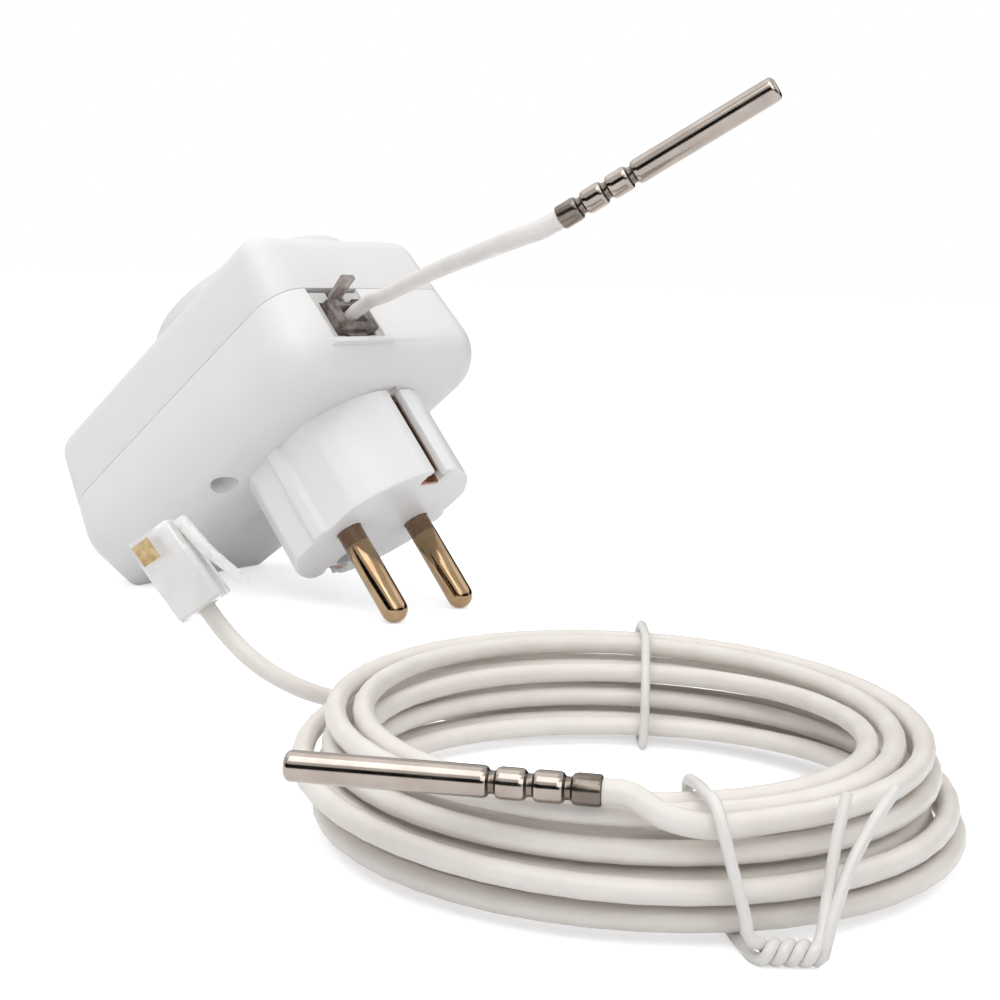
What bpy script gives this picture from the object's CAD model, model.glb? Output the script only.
# Plug-in temperature controller with two probes on cables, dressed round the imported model.
# Sizes in the settings are millimetres; the controller's own frame has its origin in the
# middle of the plug face, +X across, +Y to the probe jack and +Z out along the pins.
import math

import bmesh
import bpy
from mathutils import Matrix, Vector


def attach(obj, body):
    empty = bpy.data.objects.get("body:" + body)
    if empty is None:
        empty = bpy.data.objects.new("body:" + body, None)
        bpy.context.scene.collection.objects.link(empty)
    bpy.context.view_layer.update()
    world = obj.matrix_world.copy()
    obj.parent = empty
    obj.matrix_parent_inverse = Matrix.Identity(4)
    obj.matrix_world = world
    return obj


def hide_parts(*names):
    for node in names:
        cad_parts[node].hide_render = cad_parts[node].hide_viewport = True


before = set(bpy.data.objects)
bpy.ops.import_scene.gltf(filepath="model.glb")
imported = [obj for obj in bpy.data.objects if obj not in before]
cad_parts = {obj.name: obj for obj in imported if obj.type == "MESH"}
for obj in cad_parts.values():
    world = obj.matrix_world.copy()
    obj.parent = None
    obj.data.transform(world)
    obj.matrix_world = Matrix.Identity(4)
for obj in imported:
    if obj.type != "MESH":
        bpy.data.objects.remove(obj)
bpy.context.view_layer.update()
mm = 0.001
print("frame loaded:", len(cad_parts), "nodes")

# the stance of the controller, as in the part's source
stance = {
    "pinLength": 19.0, "pinRadius": 2.4, "blockHeight": 18.0, "footRadius": 2.5,
    "footEnd": 46.5, "endDraft": 3.0, "frontRadius": 4.8, "bodyDepth": 31.6,
}


def leanAngle(s):
    a = s["pinLength"] - s["pinRadius"] + s["blockHeight"] + s["footRadius"]
    b = s["footEnd"] - s["footRadius"]
    return math.acos((s["footRadius"] - s["pinRadius"]) / math.hypot(a, b)) - math.atan2(b, a)


lean = leanAngle(stance)
pinReach = stance["pinLength"] - stance["pinRadius"]
frontZ = -stance["blockHeight"] - stance["bodyDepth"]
nearY = -pinReach * math.sin(lean) - stance["pinRadius"]
farY = ((stance["footEnd"] - stance["endDraft"] - stance["frontRadius"]) * math.cos(lean)
        + (-frontZ - stance["frontRadius"]) * math.sin(lean) + stance["frontRadius"])
centreY = -(nearY + farY) / 2
footZ = stance["pinRadius"] + pinReach * math.cos(lean)
controllerMatrix = (Matrix.Scale(mm, 4) @ Matrix.Translation((0, centreY, footZ))
                    @ Matrix.Rotation(math.pi - lean, 4, "X"))


def placed(x, y, z):
    return controllerMatrix @ Vector((x, y, z))


def ground(p):
    return Vector((p[0], p[1] + centreY, p[2])) * mm


# camera
cameraView = {
    "place": (-251.488, -204.952, 63.641), "lens": 64.8,
    "azimuth": -54.544, "elevation": 7.595, "roll": 1.863,
}


def setCamera(c):
    az, el, roll = (math.radians(c[k]) for k in ("azimuth", "elevation", "roll"))
    right = Vector((math.cos(az), math.sin(az), 0))
    back = Vector((math.sin(az) * math.cos(el), -math.cos(az) * math.cos(el), math.sin(el)))
    up = back.cross(right)
    rolledRight = right * math.cos(roll) + up * math.sin(roll)
    rolledUp = up * math.cos(roll) - right * math.sin(roll)
    data = bpy.data.cameras.new("camera")
    data.lens, data.sensor_width, data.clip_start = c["lens"], 36, 0.01
    camera = bpy.data.objects.new("camera", data)
    bpy.context.scene.collection.objects.link(camera)
    turn = Matrix((rolledRight, rolledUp, back)).transposed().to_4x4()
    camera.matrix_world = Matrix.Translation(ground(c["place"])) @ turn
    bpy.context.scene.camera = camera


setCamera(cameraView)


# materials
def linear(hexColour):
    parts = [int(hexColour[i:i + 2], 16) / 255 for i in (1, 3, 5)]
    return [p / 12.92 if p <= 0.04045 else ((p + 0.055) / 1.055) ** 2.4 for p in parts] + [1]


def addNode(tree, kind, settings=None, inputs=(), **links):
    # inputs are linked by their order, links by the name of the socket
    node = tree.nodes.new(kind)
    for key, value in (settings or {}).items():
        if key in node.inputs:
            node.inputs[key].default_value = value
        else:
            setattr(node, key, value)
    for socket, source in zip(node.inputs, inputs):
        tree.links.new(source, socket)
    for key, source in links.items():
        tree.links.new(source, node.inputs[key.replace("_", " ")])
    return node


def startMaterial(name, colour, roughness, **sockets):
    material = bpy.data.materials.new(name)
    material.use_nodes = True
    tree = material.node_tree
    shader = tree.nodes["Principled BSDF"]
    shader.inputs["Base Color"].default_value = linear(colour)
    shader.inputs["Roughness"].default_value = roughness
    for key, value in sockets.items():
        shader.inputs[key.replace("_", " ")].default_value = value
    material.diffuse_color = linear(colour)
    return material, tree, shader


softSpan = (0.35, 0.65)  # the stretch of the noise over which one value turns into the other


def noiseOf(tree, size, detail=3.0):
    # size in millimetres
    place = addNode(tree, "ShaderNodeTexCoord")
    noise = addNode(tree, "ShaderNodeTexNoise", {"Scale": 1 / (size * mm), "Detail": detail},
                    Vector=place.outputs["Object"])
    return noise.outputs["Fac"]


def rampOf(tree, source, low, high, lowAt, highAt):
    ramp = addNode(tree, "ShaderNodeValToRGB", Fac=source)
    first, last = ramp.color_ramp.elements
    first.position, last.position = lowAt, highAt
    first.color, last.color = low, high
    return ramp.outputs["Color"]


def finished(name, colour, shade, roughness, tone, polish, grain, span=softSpan, **sockets):
    # tone: size of the soft variation from shade to colour; polish: lowest and highest
    # roughness and their size; grain: size and depth of the relief; all in millimetres
    material, tree, shader = startMaterial(name, colour, roughness, **sockets)
    tree.links.new(rampOf(tree, noiseOf(tree, tone), linear(shade), linear(colour), *span),
                   shader.inputs["Base Color"])
    if polish:
        low, high, size = polish
        tree.links.new(rampOf(tree, noiseOf(tree, size), [low] * 3 + [1], [high] * 3 + [1],
                              *softSpan), shader.inputs["Roughness"])
    size, depth = grain
    bump = addNode(tree, "ShaderNodeBump", {"Strength": 1.0, "Distance": depth * mm},
                   Height=noiseOf(tree, size, detail=2.0))
    tree.links.new(bump.outputs["Normal"], shader.inputs["Normal"])
    return material


def mouldedAbs(name, colour, shade, rough=0.42):
    # injection-moulded ABS from a spark-eroded tool: satin, with a faint even grain
    return finished(name, colour, shade, rough, 9.0, (rough - 0.04, rough + 0.05, 2.5),
                    (0.35, 0.006), (0.1, 0.9), IOR=1.54)


def platedBrass(name, colour, shade, rough):
    # plated brass or copper: bright, with a slightly uneven tone and polish
    return finished(name, colour, shade, rough, 3.0, (rough * 0.8, rough * 1.3, 0.8),
                    (0.25, 0.0008), Metallic=1.0)


def drawnSteel(name, colour, shade, rough):
    # drawn and polished stainless tube: bright lines and dark lines, a little blurred
    return finished(name, colour, shade, rough, 4.0, (rough * 0.9, rough * 1.15, 3.0),
                    (0.2, 0.0004), Metallic=1.0)


def cablePvc(name, colour, shade, rough=0.4):
    # extruded soft PVC sheath: satin, slightly uneven colour along the run
    return finished(name, colour, shade, rough, 6.0, (rough - 0.05, rough + 0.06, 1.5),
                    (0.5, 0.008), IOR=1.53, Subsurface_Weight=0.08,
                    Subsurface_Radius=(0.001, 0.0008, 0.0006))


def clearPolycarbonate(name, colour, shade, rough, clearness):
    # moulded polycarbonate of a modular plug: see-through, with cloudy flow marks
    return finished(name, colour, shade, rough, 2.2, (rough * 0.85, rough * 1.15, 1.2),
                    (1.5, 0.0015), (0.42, 0.58), IOR=1.4, Transmission_Weight=clearness)


def plainPart(name, colour, shade, rough, metallic=0.0, size=1.5):
    # small inner piece: moulded or stamped, with a little variation of tone
    return finished(name, colour, shade, rough, size, None, (0.3, 0.004), Metallic=metallic)


finish = {
    "housing_back": mouldedAbs("satinWhiteAbs", "#e8e7e6", "#e4e3e2"),
    "housing_front": mouldedAbs("satinWhiteAbsFront", "#e9e8e7", "#e5e4e3"),
    "plug_block": mouldedAbs("whitePlugPolyamide", "#efefef", "#ebebeb", 0.38),
    "socket_plastic": mouldedAbs("whiteSocketPolyamide", "#e9e8e6", "#e5e4e2", 0.4),
    "pin": platedBrass("platedBrassPin", "#a58d6f", "#987f62", 0.12),
    "pin_root": platedBrass("dullPinRoot", "#8a735f", "#7b6452", 0.25),
    "earth_strip": platedBrass("copperEarthStrip", "#a37453", "#8a6043", 0.28),
    "jack": mouldedAbs("greyJackAbs", "#cfcecc", "#c8c7c5", 0.45),
    "smoke": clearPolycarbonate("smokyPolycarbonate", "#bcb0aa", "#857872", 0.08, 0.6),
    "smoke_latch": clearPolycarbonate("smokyLatch", "#e2dad6", "#c2b6b0", 0.1, 0.65),
    "clear": clearPolycarbonate("clearPolycarbonate", "#ffffff", "#fafaf9", 0.2, 0.42),
    "clear_latch": clearPolycarbonate("milkyLatch", "#ffffff", "#faf9f8", 0.3, 0.12),
    "window": clearPolycarbonate("redDisplayFilter", "#7a1a1c", "#6f1618", 0.08, 0.5),
    "cable": cablePvc("warmWhiteCable", "#e6e1db", "#e0dad3"),
    "cable_white": cablePvc("whiteCable", "#eae6e3", "#e4dfdb"),
    "steel": drawnSteel("polishedProbeSteel", "#a69d95", "#998f87", 0.15),
    "steel_crimp": drawnSteel("crimpedProbeSteel", "#847b74", "#70675f", 0.22),
    "tie": cablePvc("whiteTieWire", "#e3e1dd", "#dcd9d5", 0.35),
}
# name, colour, shade, roughness, then metal and the size of the variation
plainParts = {
    "spring_steel": ("springSteel", "#c4c6c8", "#b4b6b8", 0.3, 1.0),
    "contact_brass": ("contactBrass", "#cdac6a", "#bd9a58", 0.32, 1.0),
    "board": ("glassEpoxyBoard", "#2c5f3a", "#264f32", 0.45, 0.0, 4.0),
    "relay": ("blueRelayCase", "#2d5f9c", "#27548c", 0.35),
    "film": ("redFilmCapacitor", "#a4482b", "#923f25", 0.35),
    "can": ("sleevedCapacitorCan", "#2f3540", "#272c35", 0.35),
    "fuse": ("brownFuseCase", "#6b3f28", "#5c3521", 0.45),
    "header": ("tinnedHeader", "#c9b87a", "#b8a868", 0.35, 0.6),
    "digits": ("blackDigitModule", "#17171a", "#101013", 0.3),
    "button": ("darkRubberButton", "#37393c", "#303235", 0.55),
    "switch": ("stampedSwitchCan", "#8f9296", "#808388", 0.4, 0.7),
    "chip": ("blackChipResin", "#1f2023", "#191a1c", 0.55),
    "gold": ("goldContact", "#d8a94e", "#c59740", 0.25, 1.0),
    "screw": ("zincScrew", "#8f9296", "#7e8185", 0.35, 1.0),
    "seen_contact": ("contactThroughWall", "#d8c094", "#b99c6c", 0.22, 0.0, 1.2),
    "bead": ("sensorBead", "#202023", "#19191b", 0.5),
}
finish.update((key, plainPart(*row)) for key, row in plainParts.items())
print("materials made:", len(finish))


# making and placing pieces
def newPiece(name, bm):
    mesh = bpy.data.meshes.new(name)
    bm.to_mesh(mesh)
    bm.free()
    piece = bpy.data.objects.new(name, mesh)
    bpy.context.scene.collection.objects.link(piece)
    return piece


def bakeModifiers(piece):
    graph = bpy.context.evaluated_depsgraph_get()
    graph.update()
    mesh = bpy.data.meshes.new_from_object(piece.evaluated_get(graph))
    piece.modifiers.clear()
    old, piece.data = piece.data, mesh
    bpy.data.meshes.remove(old)


def combine(piece, tool, operation):
    step = piece.modifiers.new("combine", "BOOLEAN")
    step.operation, step.solver, step.object = operation, "EXACT", tool
    bakeModifiers(piece)
    bpy.data.objects.remove(tool)


def fuse(piece, bm):
    combine(piece, newPiece("added", bm), "UNION")


def cut(piece, bm):
    combine(piece, newPiece("cutter", bm), "DIFFERENCE")


def softenEdges(piece, width, segments=2, angle=32):
    step = piece.modifiers.new("soften", "BEVEL")
    step.width, step.segments, step.limit_method = width, segments, "ANGLE"
    step.angle_limit = math.radians(angle)
    bakeModifiers(piece)


def settle(piece, matrix, body, node, material, sharp=34):
    piece.data.transform(matrix)
    for face in piece.data.polygons:
        face.use_smooth = True
    piece.data.set_sharp_from_angle(angle=math.radians(sharp))
    if not piece.data.materials:
        piece.data.materials.append(finish[material])
    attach(piece, body)
    if node:
        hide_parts(node)
    return piece


def fixed(piece, node, material, sharp=34):
    return settle(piece, controllerMatrix, "controller", node, material, sharp)


def drawOut(bm, face, by):
    made = bmesh.ops.extrude_face_region(bm, geom=[face])
    bmesh.ops.translate(bm, vec=by, verts=[v for v in made["geom"]
                                           if isinstance(v, bmesh.types.BMVert)])
    bmesh.ops.recalc_face_normals(bm, faces=bm.faces)


def boxMesh(low, high):
    bm = bmesh.new()
    bmesh.ops.create_cube(bm, size=1)
    size = Vector(high) - Vector(low)
    bmesh.ops.scale(bm, vec=size, verts=bm.verts)
    bmesh.ops.translate(bm, vec=(Vector(high) + Vector(low)) / 2, verts=bm.verts)
    return bm


def rodMesh(place, radius, low, high, segments=48):
    bm = bmesh.new()
    bmesh.ops.create_cone(bm, cap_ends=True, segments=segments, radius1=radius, radius2=radius,
                          depth=high - low)
    bmesh.ops.translate(bm, vec=(place[0], place[1], (low + high) / 2), verts=bm.verts)
    return bm


def latheMesh(profile, steps=64, merge=0.0005):
    # profile of (radius, height) spun about Z
    bm = bmesh.new()
    verts = [bm.verts.new((r, 0, z)) for r, z in profile]
    edges = [bm.edges.new(pair) for pair in zip(verts, verts[1:])]
    bmesh.ops.spin(bm, geom=verts + edges, cent=(0, 0, 0), axis=(0, 0, 1),
                   angle=2 * math.pi, steps=steps, use_merge=True)
    bmesh.ops.remove_doubles(bm, verts=bm.verts, dist=merge)
    bmesh.ops.recalc_face_normals(bm, faces=bm.faces)
    return bm


# cables and their ties
def eased(marks, steps):
    # smooth run through the marks; each slope is weighed by the distances to its neighbours
    gaps = [(b - a).length for a, b in zip(marks, marks[1:])]
    steep = [(b - a) / gap for a, b, gap in zip(marks, marks[1:], gaps)]
    slopes = ([steep[0]]
              + [(steep[i] * gaps[i + 1] + steep[i + 1] * gaps[i]) / (gaps[i] + gaps[i + 1])
                 for i in range(len(steep) - 1)] + [steep[-1]])
    out = []
    for i, gap in enumerate(gaps):
        a, b, c, d = marks[i], slopes[i] * gap, marks[i + 1], slopes[i + 1] * gap
        for j in range(steps):
            u = j / steps
            out.append(a * (1 - 3 * u * u + 2 * u ** 3) + b * (u - 2 * u * u + u ** 3)
                       + c * (3 * u * u - 2 * u ** 3) + d * (u ** 3 - u * u))
    return out + [marks[-1]]


def runLength(points):
    return sum((b - a).length for a, b in zip(points, points[1:]))


def cableCurve(name, points, diameter, material, closed=False, sides=5):
    data = bpy.data.curves.new(name, "CURVE")
    data.dimensions, data.bevel_depth, data.bevel_resolution = "3D", diameter * mm / 2, sides
    data.use_fill_caps = True
    spline = data.splines.new("POLY")
    spline.points.add(len(points) - 1)
    for point, place in zip(spline.points, points):
        point.co = (*place, 1)
    spline.use_cyclic_u = closed
    spline.use_smooth = True
    data.materials.append(finish[material])
    piece = bpy.data.objects.new(name, data)
    bpy.context.scene.collection.objects.link(piece)
    return piece


cable = {"diameter": 2.5, "straight": 0.9, "steps": 6, "jackMiddle": (-10.4, 24.0, -29.05)}
coil = {
    "centre": (-78.8, -101.5), "turn": -54.5, "halfWidth": 37.5, "halfDepth": 39.6,
    "pitch": 3.2, "layer": 3.2, "narrow": 0.9, "widen": 0.8, "side": -0.5, "back": 0.9,
    "height": 2.6, "turns": 2, "climb": 0.5, "layers": 4, "start": 110, "perTurn": 48,
}
loosePlug = {"turn": (-127.2, 7.6, 34.9), "place": (-81.9, -36.8, 16.5), "lift": 3,
             "latchOut": 0.6}
airProbe = {"place": (-64.8, -79.7, 68.9), "turn": (0, 58, -68.6)}
restProbe = {"place": (-113.7, -119.6, 15.2), "turn": (0, 90, 115.9)}
shortMarks = [(-10.4, -2.8, 55.0), (-17.3, -12.7, 56.9), (-23.1, -21.1, 58.6),
              (-31.8, -32.8, 60.8), (-39.6, -42.8, 62.4), (-47.8, -52.9, 63.8),
              (-56.8, -63.7, 65.2), (-65.9, -74.6, 66.6)]
leadMarks = [(-80.9, -40.1, 12.8), (-79.9, -45.3, 9.3), (-76.7, -48.5, 6.7),
             (-71.5, -50.4, 4.5), (-65.5, -55.5, 3.2), (-60.5, -63.0, 2.7)]
tailMarks = [(-108.4, -127.9, 12.3), (-111.5, -125.0, 13.4)]
# tie wires, beside the coil: across, away, height
backLoop = [(4.0, 29.9, 2.2), (4.0, 29.9, 7.0), (4.2, 35.0, 13.2), (4.3, 37.6, 14.2),
            (4.3, 44.5, 14.2), (4.2, 46.9, 12.6), (4.1, 46.6, 9.0), (4.0, 42.4, 3.2),
            (4.0, 40.2, 0.9), (4.0, 38.4, 0.6), (4.0, 32.6, 0.6), (4.0, 30.6, 0.9)]
freeEndA = [(17.6, -36.4, 15.0), (16.4, -38.4, 10.5), (15.5, -40.2, 5.6)]
frontLoop = [(8.4, -42.3, 2.6), (7.7, -42.2, 5.0), (6.3, -42.1, 9.5), (5.2, -41.8, 13.4),
             (4.8, -40.6, 14.7), (4.2, -37.5, 14.9), (3.6, -33.0, 14.6), (3.3, -29.9, 13.7),
             (3.5, -29.3, 11.5), (5.0, -29.2, 6.5), (6.4, -29.3, 2.2), (6.8, -30.2, 0.9),
             (7.2, -32.0, 0.6), (8.2, -38.5, 0.6)]
freeEndB = [(15.9, -41.2, 4.2), (17.6, -39.4, 8.6), (20.2, -37.0, 12.6), (22.4, -35.6, 15.4)]
across = Vector((math.cos(math.radians(coil["turn"])), math.sin(math.radians(coil["turn"])), 0))
away = Vector((-across.y, across.x, 0))


def turnMatrix(angles):
    x, y, z = (math.radians(a) for a in angles)
    return (Matrix.Rotation(z, 4, "Z") @ Matrix.Rotation(y, 4, "Y") @ Matrix.Rotation(x, 4, "X"))


def coilPoint(u):
    # u counts turns; each layer ends with a climb, and odd layers wind outwards again
    per, climb = coil["turns"] + coil["climb"], coil["climb"]
    layer = min(math.floor((u + 1e-6) / per), coil["layers"] - 1)
    rise = max(0, (u - layer * per - coil["turns"]) / climb)
    h = layer + rise * rise * (3 - 2 * rise)
    f = (u + climb / 2) / per
    m = math.floor(f)
    inward = (f - m if m % 2 == 0 else 1 - f + m) * per - climb / 2
    angle = math.radians(coil["start"] - 360 * u)
    reach = coil["pitch"] * inward
    return (ground((*coil["centre"], coil["height"] + coil["layer"] * h))
            + across * mm * (coil["side"] * h + (coil["halfWidth"] - coil["narrow"] * h - reach)
                             * math.cos(angle))
            + away * mm * (coil["back"] * h + (coil["halfDepth"] + coil["widen"] * h - reach)
                           * math.sin(angle)))


def beside(p):
    return ground((*coil["centre"], p[2])) + across * mm * p[0] + away * mm * p[1]


coilTotal = coil["layers"] * coil["turns"] + (coil["layers"] - 1) * coil["climb"]
coilPath = [coilPoint(i / coil["perTurn"]) for i in range(round(coilTotal * coil["perTurn"]) + 1)]
coilFirst = (coilPath[1] - coilPath[0]).normalized()
coilLast = (coilPath[-1] - coilPath[-2]).normalized()
airTurn, restTurn = turnMatrix(airProbe["turn"]), turnMatrix(restProbe["turn"])
airDirection = airTurn.to_3x3() @ Vector((0, 0, 1))
restDirection = restTurn.to_3x3() @ Vector((0, 0, 1))
looseDirection = turnMatrix(loosePlug["turn"]).to_3x3() @ Vector((0, 1, 0))
jackDirection = (placed(0, 1, 0) - placed(0, 0, 0)).normalized()
straight = cable["straight"] * mm
shortExit, longExit = placed(*cable["jackMiddle"]), ground(loosePlug["place"])
inwards = (2, 1, 0)


def straightEnd(place, direction, order=(0, 1, 2)):
    return [place + direction * straight * i for i in order]


shortRun = eased(straightEnd(shortExit, jackDirection) + [ground(p) for p in shortMarks]
                 + straightEnd(ground(airProbe["place"]), -airDirection, inwards),
                 cable["steps"])
lead = eased(straightEnd(longExit, looseDirection) + [ground(p) for p in leadMarks]
             + straightEnd(coilPath[0], -coilFirst, inwards), cable["steps"])
tail = eased(straightEnd(coilPath[-1], coilLast) + [ground(p) for p in tailMarks]
             + straightEnd(ground(restProbe["place"]), -restDirection, inwards), cable["steps"])
longRun = lead[:-1] + coilPath + tail[1:]
shortCable = cableCurve("shortCable", shortRun, cable["diameter"], "cable_white")
longCable = cableCurve("longCable", longRun, cable["diameter"], "cable")
print("cables:", round(runLength(shortRun), 4), round(runLength(longRun), 4), "m")
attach(shortCable, "short_sensor")
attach(longCable, "controller")
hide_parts("short_cord")
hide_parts("long_cord_lead", "long_cord_coil", "long_cord_tail")


def loopedEased(marks, steps):
    n = len(marks)
    out = []
    for i in range(n):
        a, b, c, e = marks[i - 1], marks[i], marks[(i + 1) % n], marks[(i + 2) % n]
        for j in range(steps):
            t = j / steps
            out.append(0.5 * (2 * b + (c - a) * t + (2 * a - 5 * b + 4 * c - e) * t * t
                              + (3 * b - a - 3 * c + e) * t * t * t))
    return out


tie = {"diameter": 1.2, "twistRadius": 0.75, "twistFrom": 14.6, "twistTo": 9.2,
       "twistAt": (-42.0, 1.4), "twistMarks": 14, "twistTurns": 2, "frontSteps": 3,
       "backSteps": 5, "sides": 3}


def twistMark(i, shift):
    t = i / tie["twistMarks"]
    a = math.radians(90 + shift + 360 * tie["twistTurns"] * t)
    return (tie["twistFrom"] + (tie["twistTo"] - tie["twistFrom"]) * t,
            tie["twistAt"][0] + tie["twistRadius"] * math.cos(a),
            tie["twistAt"][1] + tie["twistRadius"] * math.sin(a))


frontMarks = (freeEndA + [twistMark(i, 0) for i in range(tie["twistMarks"] + 1)] + frontLoop
              + [twistMark(i, 180) for i in range(tie["twistMarks"], -1, -1)] + freeEndB)
tieFront = cableCurve("tieFront", eased([beside(p) for p in frontMarks], tie["frontSteps"]),
                      tie["diameter"], "tie", sides=tie["sides"])
tieBack = cableCurve("tieBack", loopedEased([beside(p) for p in backLoop], tie["backSteps"]),
                     tie["diameter"], "tie", closed=True, sides=tie["sides"])
for piece, node in ((tieFront, "coil_tie_front"), (tieBack, "coil_tie_back")):
    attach(piece, "controller")
    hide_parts(node)
print("cables and ties made")

# housing: the hull of soft corners, parted in two shells; past is how far a cutter stands out
housing = {
    "halfBack": 26.3, "halfFront": 22.5, "foot": -46.5, "jack": 24.2, "footDraft": 3.0,
    "jackDraft": 0.8, "bulge": 0.7, "back": -18.0, "front": -49.6, "wall": 2.0,
    "parting": -35.7, "partingGap": 0.14, "backRadius": 10.4, "frontRadius": 4.8,
    "footRadius": 2.5, "jackRadius": 8.4, "steps": 64, "screwX": 19.8, "screwY": -11.2,
    "sinkRadius": 2.5, "sinkDepth": 7.0, "bossRadius": 4.1, "bossDepth": 9.0, "slimRadius": 2.35,
    "screwRadius": 1.35, "soften": 0.3, "flatArea": 100, "flatBorder": 0.5, "flatAngle": 0.2,
    "bossInset": 1.0, "slimLap": 0.5, "past": 1.0,
}


def housingForm(s, name, inset=0.0):
    corners = []
    frontR, backR, footR, jackR = (s[k] for k in ("frontRadius", "backRadius", "footRadius",
                                                  "jackRadius"))
    for side in (-1, 1):
        front, back = side * (s["halfFront"] - frontR), side * (s["halfBack"] - backR)
        corners += [
            ((front, s["foot"] + s["footDraft"] + frontR, s["front"] + frontR), frontR),
            ((front, s["jack"] - s["jackDraft"] - frontR, s["front"] + frontR), frontR),
            ((back, s["foot"] - s["bulge"] + backR, s["back"] - backR), backR),
            ((back, s["foot"] + footR, s["back"] - footR), footR),
            ((side * (s["halfBack"] - jackR), s["jack"] - jackR, s["back"] - jackR), jackR)]
    bm = bmesh.new()
    for place, radius in corners:
        made = bmesh.ops.create_uvsphere(bm, u_segments=s["steps"], v_segments=s["steps"] // 2,
                                         radius=radius - inset)
        bmesh.ops.translate(bm, vec=place, verts=made["verts"])
    bmesh.ops.delete(bm, geom=bm.edges[:], context="EDGES_FACES")
    bmesh.ops.convex_hull(bm, input=bm.verts[:], use_existing_faces=False)
    bmesh.ops.delete(bm, geom=[v for v in bm.verts if not v.link_faces], context="VERTS")
    bmesh.ops.dissolve_limit(bm, angle_limit=math.radians(s["flatAngle"]), verts=bm.verts[:],
                             edges=bm.edges[:])
    # a narrow border round each flat face keeps its shading flat
    flats = [f for f in bm.faces if f.calc_area() > s["flatArea"]]
    bmesh.ops.inset_individual(bm, faces=flats, thickness=s["flatBorder"])
    bmesh.ops.recalc_face_normals(bm, faces=bm.faces)
    return newPiece(name, bm)


def halfShell(s, form, name, keepBack):
    bm = bmesh.new()
    bm.from_mesh(form.data)
    halfGap = s["partingGap"] / 2 if keepBack else -s["partingGap"] / 2
    bmesh.ops.bisect_plane(bm, geom=bm.verts[:] + bm.edges[:] + bm.faces[:],
                           plane_co=(0, 0, s["parting"] + halfGap), plane_no=(0, 0, 1),
                           clear_inner=keepBack, clear_outer=not keepBack)
    half = newPiece(name, bm)
    step = half.modifiers.new("wall", "SOLIDIFY")
    step.thickness, step.offset, step.use_even_offset = s["wall"], -1, True
    bakeModifiers(half)
    return half


def insideForm(form, tool):
    bm = bmesh.new()
    bm.from_mesh(form.data)
    combine(tool, newPiece("inside", bm), "INTERSECT")
    return tool


outerForm = housingForm(housing, "outerForm")
innerForm = housingForm(housing, "innerForm", housing["bossInset"])
backShell = halfShell(housing, outerForm, "backShell", True)
back, front, parting, past = (housing[k] for k in ("back", "front", "parting", "past"))
bossLow = back - housing["bossDepth"]
for side in (-1, 1):
    at = (side * housing["screwX"], housing["screwY"])
    boss = newPiece("boss", rodMesh(at, housing["bossRadius"], bossLow, back + past))
    combine(backShell, insideForm(innerForm, boss), "UNION")
    fuse(backShell, rodMesh(at, housing["slimRadius"], parting, bossLow + housing["slimLap"]))
    cut(backShell, rodMesh(at, housing["sinkRadius"], back - housing["sinkDepth"],
                           back + 2 * past))
    cut(backShell, rodMesh(at, housing["screwRadius"], parting - past, back))
opening = {"span": (-17.2, -3.6), "low": -24.5, "deep": 3.2, "ledgeSpan": (-18.45, -2.35),
           "ledgeHeight": 0.9, "ledgeReach": 0.5}
(left, right), low, jack = opening["ledgeSpan"], opening["low"], housing["jack"]
fuse(backShell, boxMesh((left, jack - housing["wall"], low), (
    right, jack + opening["ledgeReach"], low + opening["ledgeHeight"])))
left, right = opening["span"]
cut(backShell, boxMesh((left, jack - opening["deep"], parting - past),
                       (right, jack + 2 * past, low)))
dimple = {"radius": 0.95, "reach": 0.9, "stretch": 1.35, "y": 16.6}
for side in (-1, 1):
    bm = bmesh.new()
    bmesh.ops.create_uvsphere(bm, u_segments=32, v_segments=16, radius=dimple["radius"])
    bmesh.ops.scale(bm, vec=(1, dimple["stretch"], dimple["reach"] / dimple["radius"]),
                    verts=bm.verts)
    bmesh.ops.translate(bm, vec=(0, side * dimple["y"], back), verts=bm.verts)
    cut(backShell, bm)
collar = {"radius": 14.7, "deep": 3.0, "segments": 64}
cut(backShell, rodMesh((0, 0), collar["radius"], back - collar["deep"], back + past,
                       collar["segments"]))
softenEdges(backShell, housing["soften"])
fixed(backShell, "back_shell", "housing_back")
print("back shell made")

socket = {
    "rimRadius": 20.6, "rimUp": 1.2, "wellRadius": 19.5, "wellDepth": 17.2, "floor": 1.3,
    "holeRadius": 2.9, "ribWidth": 4.4, "ribReach": 1.9, "rimGap": 0.1, "segments": 96,
    "wellRound": 0.6, "mouthDeep": 0.5, "mouthMiddle": (0.15, 0.12), "rimRound": 0.45,
    "rimMiddle": 0.13, "sink": 0.4, "clipHalf": 2.4, "clipFrom": 15.2, "clipTo": 18.0,
    "jackRoom": ((-17.3, 9.9, -33.3), (-3.5, 21.6, -32)), "soften": 0.2,
}
panel = {
    "windowLow": (-18.2, -36.0), "windowSize": (20.5, 9.0), "windowThick": 2.2,
    "windowIn": 0.2, "windowGap": 0.1, "windowSoften": 0.35, "buttonX": 6.3, "buttonStep": 5.0,
    "buttonY": -31.0, "buttonRadius": 1.9, "buttonUp": 0.6, "buttonHole": 2.05,
    "dish": ((0, 0.12), (0.5, 0.1), (0.72, 0)), "buttonRim": ((0.3, 0), (0.08, 0.1), (0, 0.35)),
    "flangeRadius": 2.35, "flangeFrom": 2.15, "flangeTo": 2.95, "segments": 40,
}
frontShell = halfShell(housing, outerForm, "frontShell", False)
for form in (outerForm, innerForm):
    bpy.data.objects.remove(form)
cut(frontShell, rodMesh((0, 0), socket["rimRadius"] + socket["rimGap"], front - past,
                        parting + past, socket["segments"]))
windowLow = Vector(panel["windowLow"])
windowHigh = windowLow + Vector(panel["windowSize"])
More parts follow.
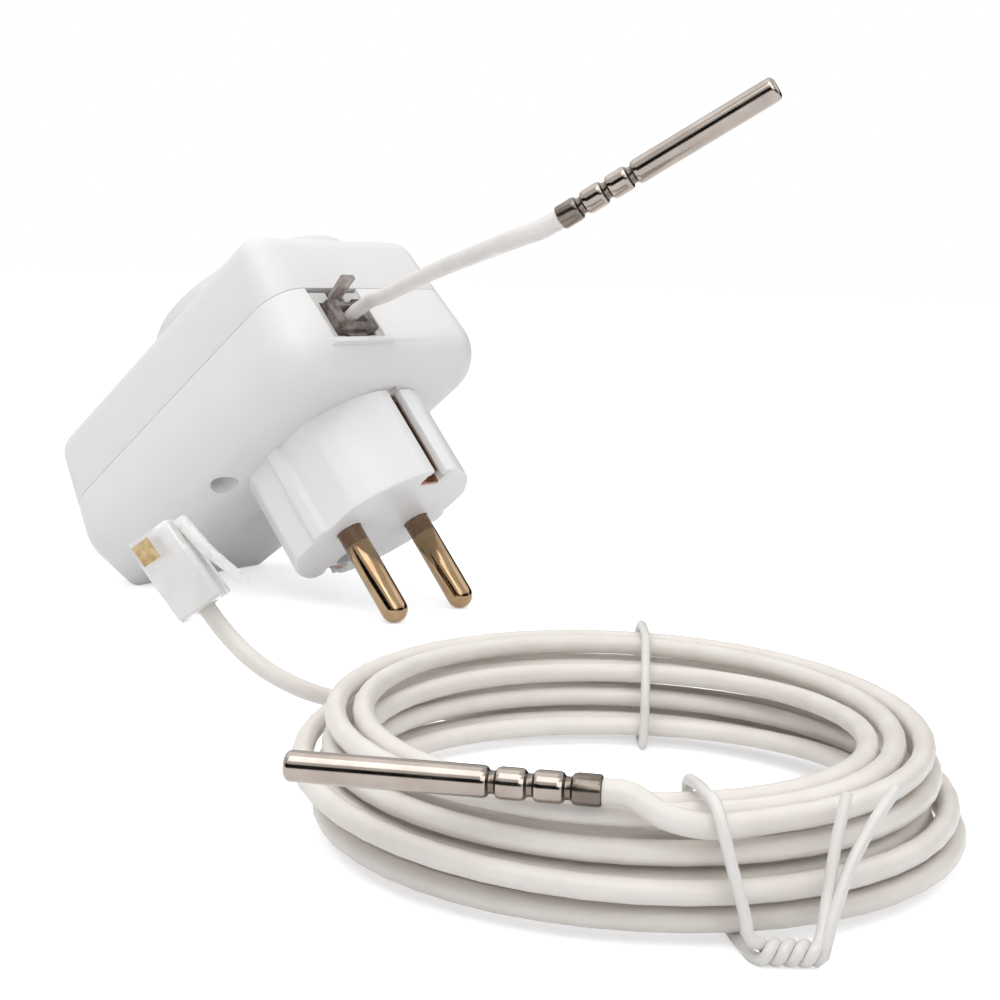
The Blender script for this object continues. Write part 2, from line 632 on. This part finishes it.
gap = panel["windowGap"]
cut(frontShell, boxMesh((windowLow.x - gap, windowLow.y - gap, front - past),
                        (windowHigh.x + gap, windowHigh.y + gap, front + 3 * past)))
buttonPlaces = [(panel["buttonX"] + i * panel["buttonStep"], panel["buttonY"]) for i in range(3)]
for at in buttonPlaces:
    cut(frontShell, rodMesh(at, panel["buttonHole"], front - past, front + 3 * past,
                            panel["segments"]))
softenEdges(frontShell, housing["soften"])
fixed(frontShell, "front_shell", "housing_front")
print("front shell made")

# pins: turned profile with a dull band at the root
pin = {"x": 9.5, "radius": 2.4, "length": 19.0, "band": 3.2, "bandStep": 0.12, "bandIn": 0.05,
       "neckIn": 0.1, "neckFrom": -3.0, "flangeRadius": 3.1, "flange": (-3.9, -3.1),
       "domeSteps": 10, "steps": 64}
# plug block: the outline's corners rounded one by one, drawn out and edged
block = {
    "radius": 17.8, "endFlat": 17.2, "sideFlat": 16.2, "toothFlat": 17.4, "recessHalf": 2.65,
    "recessFloor": 13.9, "height": 18.0, "edge": 0.7, "arcSteps": 7, "upperArc": 9.6,
    "lowerArc": 10.0, "sideMarks": (8.0, 1.2, 0.9, -1.8, -2.1, -8.4), "gripIn": 1.6,
    "gripSpan": (7.5, 11.0), "toothSpan": 2.5, "near": 0.01,
    "recessRound": (1.1, 5), "gripRound": (0.8, 4), "toothRound": (0.3, 3), "edgeSteps": 4,
    "holeRadius": 2.45, "pinHoleDeep": 4.0, "earthY": -10.6, "earthDeep": 14.0,
    "slotHalf": 2.4, "slotSpan": (13.2, 15.0), "slotDeep": 3.0,
}


def blockOutline(s):
    # right half of the outline, from the upper earth recess down to the lower one, and mirrored
    def arc(y0, y1):
        r, steps = s["radius"], s["arcSteps"]
        a0, a1 = math.asin(y0 / r), math.asin(y1 / r)
        angles = [a0 + (a1 - a0) * k / steps for k in range(steps + 1)]
        return [(r * math.cos(a), r * math.sin(a)) for a in angles]

    flat, tooth = s["sideFlat"], s["toothFlat"]
    right = ([(s["recessHalf"], s["recessFloor"]), (s["recessHalf"], s["endFlat"])]
             + arc(s["upperArc"], s["endFlat"])[::-1]
             + list(zip((flat, flat, tooth, tooth, flat, flat), s["sideMarks"]))
             + [(x, -y) for x, y in arc(s["lowerArc"], s["endFlat"])]
             + [(s["recessHalf"], -s["endFlat"]), (s["recessHalf"], -s["recessFloor"])])
    return right + [(-x, y) for x, y in reversed(right)]


def plugBlockMesh(s):
    bm = bmesh.new()
    verts = [bm.verts.new((x, y, 0)) for x, y in blockOutline(s)]
    bm.faces.new(verts)
    at = [(v, abs(v.co.x), abs(v.co.y)) for v in verts]
    recess = [v for v, x, y in at if abs(y - s["endFlat"]) < s["near"]
              and abs(x - s["recessHalf"]) < s["near"]]
    grip = [v for v, x, y in at if x > s["sideFlat"] - s["gripIn"]
            and s["gripSpan"][0] < y < s["gripSpan"][1]]
    tooth = [v for v, x, y in at if x >= s["sideFlat"] - s["near"] and y < s["toothSpan"]]
    for corners, (offset, steps) in ((recess, s["recessRound"]), (grip, s["gripRound"]),
                                     (tooth, s["toothRound"])):
        bmesh.ops.bevel(bm, geom=[v for v in corners if v.is_valid], offset=offset,
                        segments=steps, profile=0.5, affect="VERTICES", material=-1)
    base = bm.faces[:][0]
    if base.normal.z < 0:
        base.normal_flip()
    drawOut(bm, base, (0, 0, -s["height"]))
    rim = [e for e in bm.edges if all(abs(v.co.z) < s["near"] for v in e.verts)]
    bmesh.ops.bevel(bm, geom=rim, offset=s["edge"], segments=s["edgeSteps"], profile=0.5,
                    affect="EDGES", material=-1, clamp_overlap=True)
    return bm


plugBlock = newPiece("plugBlock", plugBlockMesh(block))
for side in (-1, 1):
    cut(plugBlock, rodMesh((side * pin["x"], 0), block["holeRadius"], -block["pinHoleDeep"],
                           past))
cut(plugBlock, rodMesh((0, block["earthY"]), block["holeRadius"], -block["earthDeep"], past))
for side in (-1, 1):
    low, high = sorted(side * y for y in block["slotSpan"])
    cut(plugBlock, boxMesh((-block["slotHalf"], low, -block["slotDeep"]),
                           (block["slotHalf"], high, past)))
# each earth groove is wider under two lips, which stop short of the plug face
lip = {"throatHalf": 1.5, "under": 15.6, "over": 17.19, "bed": 3.8, "start": -17.99,
       "stop": -0.4, "corner": 0.5, "bend": 0.3, "chamfer": 0.2}
leaf = {"half": 2.3, "under": 14.55, "over": 14.95, "start": -16.8, "stop": -1.7, "soften": 0.12}
c, bend = lip["corner"], lip["bend"] * lip["corner"]
lipRim = [(lip["bed"], lip["under"]), (lip["bed"], lip["over"]),
          (lip["throatHalf"] + c, lip["over"]), (lip["throatHalf"] + bend, lip["over"] - bend),
          (lip["throatHalf"], lip["over"] - c), (lip["throatHalf"], lip["under"] + lip["chamfer"]),
          (lip["throatHalf"] + lip["chamfer"], lip["under"])]
for turn in (0, math.pi):
    for side in (-1, 1):
        bm = bmesh.new()
        face = bm.faces.new([bm.verts.new((side * x, y, lip["start"])) for x, y in lipRim])
        drawOut(bm, face, (0, 0, lip["stop"] - lip["start"]))
        bmesh.ops.rotate(bm, matrix=Matrix.Rotation(turn, 3, "Z"), verts=bm.verts)
        fuse(plugBlock, bm)
    piece = newPiece("earthLeaf", boxMesh((-leaf["half"], leaf["under"], leaf["start"]),
                                          (leaf["half"], leaf["over"], leaf["stop"])))
    softenEdges(piece, leaf["soften"])
    piece.data.transform(Matrix.Rotation(turn, 4, "Z"))
    fixed(piece, None, "earth_strip")
fixed(plugBlock, "plug_block", "plug_block", 40)
print("plug block made")

for name, node, side in (("plugPinLeft", "plug_pin_left", -1),
                         ("plugPinRight", "plug_pin_right", 1)):
    r, end = pin["radius"], pin["length"]
    dome = [(r * math.cos(a), end - r + r * math.sin(a))
            for a in (math.pi / 2 * k / pin["domeSteps"] for k in range(1, pin["domeSteps"]))]
    low, high = pin["flange"]
    root = r - pin["bandIn"]
    profile = ([(0, low), (pin["flangeRadius"], low), (pin["flangeRadius"], high),
                (r - pin["neckIn"], pin["neckFrom"]), (root, 0.0), (root, pin["band"]),
                (r, pin["band"] + pin["bandStep"]), (r, end - r)] + dome + [(0, end)])
    piece = newPiece(name, latheMesh(profile, pin["steps"]))
    piece.data.materials.append(finish["pin"])
    piece.data.materials.append(finish["pin_root"])
    for face in piece.data.polygons:
        if face.center.z < pin["band"]:
            face.material_index = 1
    piece.data.transform(Matrix.Translation((side * pin["x"], 0, 0)))
    fixed(piece, node, "pin")
print("pins made")


# socket: spun cup with holes, ribs and clip slots
def socketMesh(s):
    rim, r, mouth = front - s["rimUp"], s["rimRadius"], s["wellRadius"]
    well = rim + s["wellDepth"]
    (dx, dz), e = s["mouthMiddle"], s["rimMiddle"]
    return latheMesh([(0, well), (mouth - s["wellRound"], well), (mouth, well - s["wellRound"]),
                      (mouth, rim + s["mouthDeep"]), (mouth + dx, rim + dz),
                      (mouth + s["rimRound"], rim), (r - s["rimRound"], rim), (r - e, rim + e),
                      (r, rim + s["rimRound"]), (r, well + s["floor"]),
                      (0, well + s["floor"])], s["segments"])


socketCup = newPiece("socketCup", socketMesh(socket))
wellZ = front - socket["rimUp"] + socket["wellDepth"]
ribHalf = socket["ribWidth"] / 2
for side in (-1, 1):
    inner, outer = sorted((side * (socket["wellRadius"] - socket["ribReach"]),
                           side * (socket["wellRadius"] + socket["mouthDeep"])))
    fuse(socketCup, boxMesh((inner, -ribHalf, front + socket["sink"]),
                            (outer, ribHalf, wellZ + socket["sink"])))
    cut(socketCup, rodMesh((side * pin["x"], 0), socket["holeRadius"], wellZ - past,
                           wellZ + 3 * past))
    low, high = sorted((side * socket["clipFrom"], side * socket["clipTo"]))
    cut(socketCup, boxMesh((-socket["clipHalf"], low, wellZ - past),
                           (socket["clipHalf"], high, wellZ + 3 * past)))
cut(socketCup, boxMesh(*socket["jackRoom"]))
softenEdges(socketCup, socket["soften"])
fixed(socketCup, "socket_cup", "socket_plastic", 40)

# case screws, deep in their recesses, with a cross slot; the crown is (in, down) from the top
screw = {"head": 2.2, "headHigh": 1.9, "shank": 1.3, "reach": 9.0, "point": 1.0, "slot": 0.55,
         "slotDeep": 1.1, "slotLong": 1.5, "crown": ((0.9, 0.05), (0.25, 0.45), (0, 1.0)),
         "steps": 40}
screws = []
for side in (-1, 1):
    top = back - housing["sinkDepth"] + screw["headHigh"]
    piece = newPiece("screw", latheMesh(
        [(0, top)] + [(screw["head"] - x, top - z) for x, z in screw["crown"]]
        + [(screw["head"], top - screw["headHigh"]), (screw["shank"], top - screw["headHigh"]),
           (screw["shank"], top - screw["reach"]),
           (0, top - screw["reach"] - screw["point"])], screw["steps"]))
    for x, y in ((screw["slotLong"], screw["slot"] / 2), (screw["slot"] / 2, screw["slotLong"])):
        cut(piece, boxMesh((-x, -y, top - screw["slotDeep"]), (x, y, top + past)))
    piece.data.transform(Matrix.Translation((side * housing["screwX"], housing["screwY"], 0)))
    screws.append(piece)
combine(screws[0], screws[1], "UNION")
fixed(screws[0], "case_screws", "screw")

# display window and buttons
windowZ = front + panel["windowIn"]
windowPiece = newPiece("displayWindow", boxMesh(
    (windowLow.x, windowLow.y, windowZ),
    (windowHigh.x, windowHigh.y, windowZ + panel["windowThick"])))
softenEdges(windowPiece, panel["windowSoften"], 3)
fixed(windowPiece, "display_window", "window")
r, top = panel["buttonRadius"], front - panel["buttonUp"]
flangeFrom, flangeTo = front + panel["flangeFrom"], front + panel["flangeTo"]
buttonProfile = ([(r * share, top + z) for share, z in panel["dish"]]
                 + [(r - x, top + z) for x, z in panel["buttonRim"]]
                 + [(r, flangeFrom), (panel["flangeRadius"], flangeFrom),
                    (panel["flangeRadius"], flangeTo), (0, flangeTo)])
for at, name, node, body in zip(buttonPlaces, ("setButton", "downButton", "upButton"),
                                ("button_set", "button_down", "button_up"),
                                ("set_button", "down_button", "up_button")):
    piece = newPiece(name, latheMesh(buttonProfile, panel["segments"]))
    piece.data.transform(Matrix.Translation((*at, 0)))
    settle(piece, controllerMatrix, body, node, "button")
print("socket, window and buttons made")

# probes: spun sleeve with three crimp grooves and a rounded end; shoulder is (away, in)
probe = {"radius": 1.55, "length": 30.5, "barrel": 2.8, "groove": 0.8, "grooveIn": 0.42,
         "grooves": 3, "shoulder": ((0.6, 0), (0.45, 0), (0.1, 0.1)), "valleyRound": 0.15,
         "valleyIn": 0.03, "rear": ((0.2, 0), (0.05, 0.12), (0, 0.35)), "endRadius": 0.7,
         "endBorder": 0.25, "endSteps": 6, "steps": 48, "darkIn": 0.06}


def probeMesh(s):
    r, g, width = s["radius"], s["radius"] - s["grooveIn"], s["groove"]
    profile = [(0, 0)] + [(r - x, z) for x, z in s["rear"]]
    z = 0
    for i in range(s["grooves"]):
        z += s["barrel"]
        profile += [(r - x, z - gone) for gone, x in s["shoulder"]]
        profile += [(g, z + s["valleyRound"]), (g - s["valleyIn"], z + width / 2),
                    (g, z + width - s["valleyRound"])]
        profile += [(r - x, z + width + gone) for gone, x in reversed(s["shoulder"])]
        z += width
    e = s["endRadius"]
    profile += [(r, s["length"] - e - s["endBorder"]), (r, s["length"] - e)]
    profile += [(r - e + e * math.cos(a), s["length"] - e + e * math.sin(a))
                for a in (math.pi / 2 * k / s["endSteps"] for k in range(1, s["endSteps"] + 1))]
    profile += [(0, s["length"])]
    return latheMesh(profile, s["steps"])


for name, node, body, matrix, place in (
        ("airProbe", "short_probe_sleeve", "short_sensor", airTurn, airProbe["place"]),
        ("restProbe", "long_probe_sleeve", "controller", restTurn, restProbe["place"])):
    piece = newPiece(name, probeMesh(probe))
    piece.data.materials.append(finish["steel"])
    piece.data.materials.append(finish["steel_crimp"])
    crimpEnd = probe["grooves"] * (probe["barrel"] + probe["groove"])
    for face in piece.data.polygons:
        inGroove = face.center.xy.length < probe["radius"] - probe["darkIn"]
        if face.center.z < probe["barrel"] or (face.center.z < crimpEnd and inGroove):
            face.material_index = 1
    settle(piece, Matrix.Translation(ground(place)) @ matrix @ Matrix.Scale(mm, 4), body, node,
           "steel", sharp=30)
print("probes made")

# modular plugs
modular = {
    "width": 9.65, "thick": 6.5, "length": 12.3, "latchWidth": 3.3, "latchRoot": 0.9,
    "latchBend": 5.4, "latchOut": 4.3, "latchRise": 2.0, "latchEnd": 0.9, "rootBack": 0.35,
    "rootFront": 0.4, "rootUp": 0.1, "rootDown": 0.05, "bendDown": 0.3, "groove": 0.7,
    "room": 0.3, "wedgeLength": 3.5, "wedgeWide": 6.0, "wedgeNarrow": 3.5, "wedgeSink": 0.1,
    "cableStart": 4.4, "cableHalf": 1.7, "contactStep": 1.02, "contactHalf": 0.175,
    "contactGap": 0.05, "contactLength": 3.0, "contactDepth": 2.2, "contactIn": 0.2,
    "steps": (-1.5, -0.5, 0.5, 1.5), "out": 3.0, "soften": 0.12,
}
shortBody = {"rear": 1.3, "wedgeHigh": 1.3, "room": 2.5, "edge": 0.3, "latchThin": 0.4}
looseBody = {"rear": 0.0, "wedgeHigh": 0.4, "room": 1.6, "edge": 0.6, "latchThin": 1.3}


def plugBodyPiece(s, name, own):
    w, t, l = s["width"] / 2, s["thick"] / 2, s["length"]
    body = newPiece(name, boxMesh((-w, -l, -t), (w, own["rear"], t)))
    softenEdges(body, own["edge"], 4)
    bm = bmesh.new()
    wide, narrow, foot, top = (s["wedgeWide"] / 2, s["wedgeNarrow"] / 2, t - s["wedgeSink"],
                               t + own["wedgeHigh"])
    ends = [[bm.verts.new((x, y, z)) for x, z in ((-wide, foot), (wide, foot), (narrow, top),
                                                  (-narrow, top))]
            for y in (0, -s["wedgeLength"])]
    loops = [[bm.edges.new((r[k], r[(k + 1) % 4])) for k in range(4)] for r in ends]
    bmesh.ops.bridge_loops(bm, edges=loops[0] + loops[1])
    for loop in loops:
        bmesh.ops.contextual_create(bm, geom=loop)
    bmesh.ops.recalc_face_normals(bm, faces=bm.faces)
    fuse(body, bm)
    half = s["latchWidth"] / 2 + s["room"]
    cut(body, boxMesh((-half, s["latchRoot"] - l, -t - past), (half, s["out"], s["groove"] - t)))
    # hollow for the cable end and the open slots over the contacts
    cut(body, boxMesh((-own["room"], s["cableStart"] - l, -s["cableHalf"]),
                      (own["room"], s["out"], s["cableHalf"])))
    slotHalf = s["contactHalf"] + s["contactGap"]
    for k in s["steps"]:
        x = k * s["contactStep"]
        cut(body, boxMesh((x - slotHalf, -l - past, t - s["contactIn"] - s["contactDepth"]),
                          (x + slotHalf, s["contactLength"] - l, t + past)))
    softenEdges(body, s["soften"], 2, 40)
    return body


def plugLatchPiece(s, own, name, lift, out):
    tip, thin = s["length"] - s["latchRoot"] + out, own["latchThin"]
    side = [(-s["rootBack"], s["rootUp"]), (-s["rootBack"], -thin - s["rootDown"]),
            (s["latchBend"], -s["bendDown"] - thin), (tip, -s["latchRise"] - s["latchEnd"]),
            (tip, -s["latchRise"]), (s["latchBend"], -s["bendDown"]),
            (s["rootFront"], s["rootUp"])]
    bm = bmesh.new()
    base = bm.faces.new([bm.verts.new((-s["latchWidth"] / 2, y, z)) for y, z in side])
    drawOut(bm, base, (s["latchWidth"], 0, 0))
    piece = newPiece(name, bm)
    softenEdges(piece, s["soften"], 2, 30)
    piece.data.transform(Matrix.Translation((0, s["latchRoot"] - s["length"], -s["thick"] / 2))
                         @ Matrix.Rotation(math.radians(lift), 4, "X"))
    return piece


jackMatrix = controllerMatrix @ Matrix.Translation(cable["jackMiddle"])
looseMatrix = Matrix.Translation(longExit) @ turnMatrix(loosePlug["turn"]) @ Matrix.Scale(mm, 4)
for name, node, own, matrix, bodies, look, lift, out in (
        ("short", "short", shortBody, jackMatrix, ("short_sensor", "short_latch"), "smoke", 0,
         modular["latchOut"]),
        ("loose", "long", looseBody, looseMatrix, ("controller", "long_latch"), "clear",
         -loosePlug["lift"], loosePlug["latchOut"])):
    settle(plugBodyPiece(modular, name + "PlugBody", own), matrix, bodies[0],
           node + "_plug_body", look)
    settle(plugLatchPiece(modular, own, name + "PlugLatch", lift, out), matrix, bodies[1],
           node + "_plug_latch", look + "_latch")
# the outer contacts, as they show through the side walls
seen = {"back": 0.6, "under": 0.5, "high": 2.5, "in": 0.02, "out": 0.012}
for side in (-1, 1):
    inner, outer = sorted((side * (modular["width"] / 2 - seen["in"]),
                           side * (modular["width"] / 2 + seen["out"])))
    start, top = seen["back"] - modular["length"], modular["thick"] / 2 - seen["under"]
    piece = newPiece("seenContact", boxMesh((inner, start, top - seen["high"]),
                                            (outer, start + modular["contactLength"], top)))
    settle(piece, looseMatrix, "controller", None, "seen_contact")
# cable end gripped inside each plug
cableEnd = {"low": (-1.4, -7.6, -1.15), "high": (1.4, -0.1, 1.15), "soften": 0.8}
for name, matrix, body, material in (("shortCableEnd", jackMatrix, "short_sensor", "cable_white"),
                                     ("looseCableEnd", looseMatrix, "controller", "cable")):
    piece = newPiece(name, boxMesh(cableEnd["low"], cableEnd["high"]))
    softenEdges(piece, cableEnd["soften"], 4)
    settle(piece, matrix, body, None, material)
print("modular plugs made")

# finishes for the CAD nodes that stay
keptFinish = {
    "earth_strip": "earth_strips", "spring_steel": "socket_earth_clips link_left link_right",
    "contact_brass": "socket_contact_left socket_contact_right", "relay": "relay",
    "board": "power_board display_board", "film": "dropper_capacitor",
    "can": "smoothing_capacitor", "fuse": "fuse", "header": "board_header",
    "digits": "led_display", "switch": "tact_switches", "chip": "controller_chip",
    "jack": "jack_housing", "gold": "jack_contacts short_plug_contacts long_plug_contacts",
    "bead": "short_probe_bead long_probe_bead",
}
for name, nodes in keptFinish.items():
    for node in nodes.split():
        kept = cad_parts[node].data.materials
        kept.clear()
        kept.append(finish[name])
print("kept nodes finished")

# stage: a white floor that keeps the shadow; the world lights from above and is seen as white
stageLook = {"floorColour": "#e8e8ea", "floorRoughness": 0.9, "floorGloss": 0.1,
             "floorLift": 0.52, "floorSize": 8.0, "worldColour": "#ffffff",
             "horizonColour": "#2a2a2c", "horizonTo": 0.02, "brightFrom": 0.55,
             "worldStrength": 0.72}
# dark cards beside and behind the camera, seen in reflections only, draw the metal's dark lines
darkCard = {"colour": "#161617", "width": 2.2, "height": 0.62, "thick": 0.01,
            "places": ((-1.3, -0.1, 90), (1.3, -0.1, -90), (0.0, -1.7, 0))}


def showsBackground(tree):
    # 1 for rays from the camera, off gloss and through glass
    path = addNode(tree, "ShaderNodeLightPath")
    total = path.outputs["Is Camera Ray"]
    for name in ("Is Glossy Ray", "Is Transmission Ray"):
        total = addNode(tree, "ShaderNodeMath", {"operation": "MAXIMUM"},
                        (total, path.outputs[name])).outputs[0]
    return total


def makeFloor(s):
    bm = bmesh.new()
    bmesh.ops.create_grid(bm, x_segments=2, y_segments=2, size=s["floorSize"] / 2)
    floor = newPiece("floor", bm)
    material, tree, shader = startMaterial("whitePaperFloor", s["floorColour"],
                                           s["floorRoughness"],
                                           Specular_IOR_Level=s["floorGloss"])
    lift = addNode(tree, "ShaderNodeMath", {"operation": "MULTIPLY"}, [showsBackground(tree)])
    lift.inputs[1].default_value = s["floorLift"]
    glow = addNode(tree, "ShaderNodeEmission", Strength=lift.outputs[0])
    both = addNode(tree, "ShaderNodeAddShader", None, (shader.outputs[0], glow.outputs[0]))
    tree.links.new(both.outputs[0], tree.nodes["Material Output"].inputs["Surface"])
    floor.data.materials.append(material)


def makeDarkCards(s):
    material = startMaterial("blackCard", s["colour"], 1.0, Specular_IOR_Level=0.0)[0]
    for i, (x, y, turn) in enumerate(s["places"]):
        card = newPiece(f"darkCard{i + 1}", boxMesh((-s["width"] / 2, -s["thick"] / 2, 0.0),
                                                    (s["width"] / 2, s["thick"] / 2, s["height"])))
        card.matrix_world = (Matrix.Translation((x, y, 0))
                             @ Matrix.Rotation(math.radians(turn), 4, "Z"))
        card.visible_camera = card.visible_diffuse = card.visible_shadow = False
        card.visible_transmission = False
        card.data.materials.append(material)


def makeWorld(s):
    world = bpy.data.worlds.new("whiteStudio")
    bpy.context.scene.world = world
    world.use_nodes = True
    tree = world.node_tree
    light = tree.nodes["Background"]
    light.inputs["Strength"].default_value = s["worldStrength"]
    # darker towards the horizon, as in a studio with the room lights off
    place = addNode(tree, "ShaderNodeTexCoord")
    parts = addNode(tree, "ShaderNodeSeparateXYZ", Vector=place.outputs["Generated"])
    glow = rampOf(tree, parts.outputs["Z"], linear(s["horizonColour"]), linear(s["worldColour"]),
                  s["horizonTo"], s["brightFrom"])
    tree.links.new(glow, light.inputs["Color"])
    white = addNode(tree, "ShaderNodeBackground", {"Color": (1, 1, 1, 1), "Strength": 1.0})
    mix = addNode(tree, "ShaderNodeMixShader", None,
                  (showsBackground(tree), light.outputs[0], white.outputs[0]))
    tree.links.new(mix.outputs[0], tree.nodes["World Output"].inputs["Surface"])


lamps = {
    "keyLamp": {"place": (-0.45, -0.15, 0.75), "aim": (-0.04, -0.08, 0.02), "size": 0.55,
                "power": 2.0},
    "sideLamp": {"place": (0.55, -0.55, 0.55), "aim": (-0.03, -0.08, 0.03), "size": 0.6,
                 "power": 0.85},
    "nearLamp": {"place": (-0.55, -0.6, 0.5), "aim": (-0.02, -0.05, 0.04), "size": 0.5,
                 "power": 1.5},
    "topLamp": {"place": (-0.05, 0.35, 0.85), "aim": (-0.03, -0.05, 0.02), "size": 0.8,
                "power": 1.55},
}


def makeLamp(name, s):
    data = bpy.data.lights.new(name, "AREA")
    data.shape, data.size, data.energy = "SQUARE", s["size"], s["power"]
    lamp = bpy.data.objects.new(name, data)
    bpy.context.scene.collection.objects.link(lamp)
    lamp.location = s["place"]
    look = Vector(s["aim"]) - Vector(s["place"])
    lamp.rotation_euler = look.to_track_quat("-Z", "Y").to_euler()


makeFloor(stageLook)
makeDarkCards(darkCard)
makeWorld(stageLook)
for name, settings in lamps.items():
    makeLamp(name, settings)
bpy.context.scene.view_settings.view_transform = "Standard"
print("stage and lamps made")
